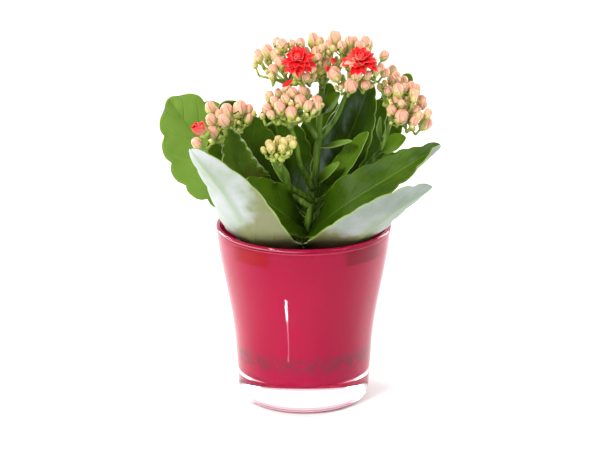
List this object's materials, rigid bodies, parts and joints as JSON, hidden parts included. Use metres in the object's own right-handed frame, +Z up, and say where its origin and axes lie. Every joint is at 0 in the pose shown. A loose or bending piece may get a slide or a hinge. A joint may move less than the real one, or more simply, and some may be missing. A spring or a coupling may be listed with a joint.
{
  "type": "potted kalanchoe",
  "caption": "Flowering kalanchoe with fleshy scalloped leaves, domed heads of peach double buds and open red rosettes, in a tapered glass pot lacquered red inside.",
  "frame": {"origin": "centre of the glass pot's flat underside, on the surface that it stands on", "axes": "+Z up along the pot's axis; -Y is the plant's front, where the widest flower heads and the two pale leaf undersides face; +X to the right seen from the front"},
  "size_m": [0.1591, 0.116, 0.2118],
  "materials": {
    "glass": "polished",
    "lacquer": "gloss",
    "grow_pot": "satin",
    "soil": "matte",
    "stem": "satin",
    "leaf": "satin",
    "bud": "satin",
    "petal": "satin"
  },
  "bodies": {
    "root": {"bract_low_left": "leaf", "bract_low_right": "leaf", "bract_middle": "leaf", "bract_thin": "leaf", "bract_top": "leaf", "flower_half_open": "petal", "flower_head_centre": "bud", "flower_head_left": "bud", "flower_head_low": "bud", "flower_head_right": "bud", "flower_head_top_left": "bud", "flower_head_top_middle": "bud", "flower_head_top_right": "bud", "flower_left": "petal", "flower_right": "petal", "glass_pot": "glass", "grow_pot": "grow_pot", "leaf_back_inner": "leaf", "leaf_back_left_low": "leaf", "leaf_back_low": "leaf", "leaf_back_middle": "leaf", "leaf_back_right": "leaf", "leaf_back_right_low": "leaf", "leaf_back_tall": "leaf", "leaf_back_top_right": "leaf", "leaf_far_left": "leaf", "leaf_front_left": "leaf", "leaf_front_right": "leaf", "leaf_left_back": "leaf", "leaf_left_cupped": "leaf", "leaf_left_inner": "leaf", "leaf_right_inner": "leaf", "leaf_right_long": "leaf", "leaf_right_low": "leaf", "leaf_right_spoon": "leaf", "main_stem": "stem", "potting_soil": "soil", "red_lining": "lacquer", "stalk_centre": "stem", "stalk_left": "stem", "stalk_low": "stem", "stalk_right": "stem", "stalk_top_left": "stem", "stalk_top_right": "stem"}
  },
  "joints": []
}
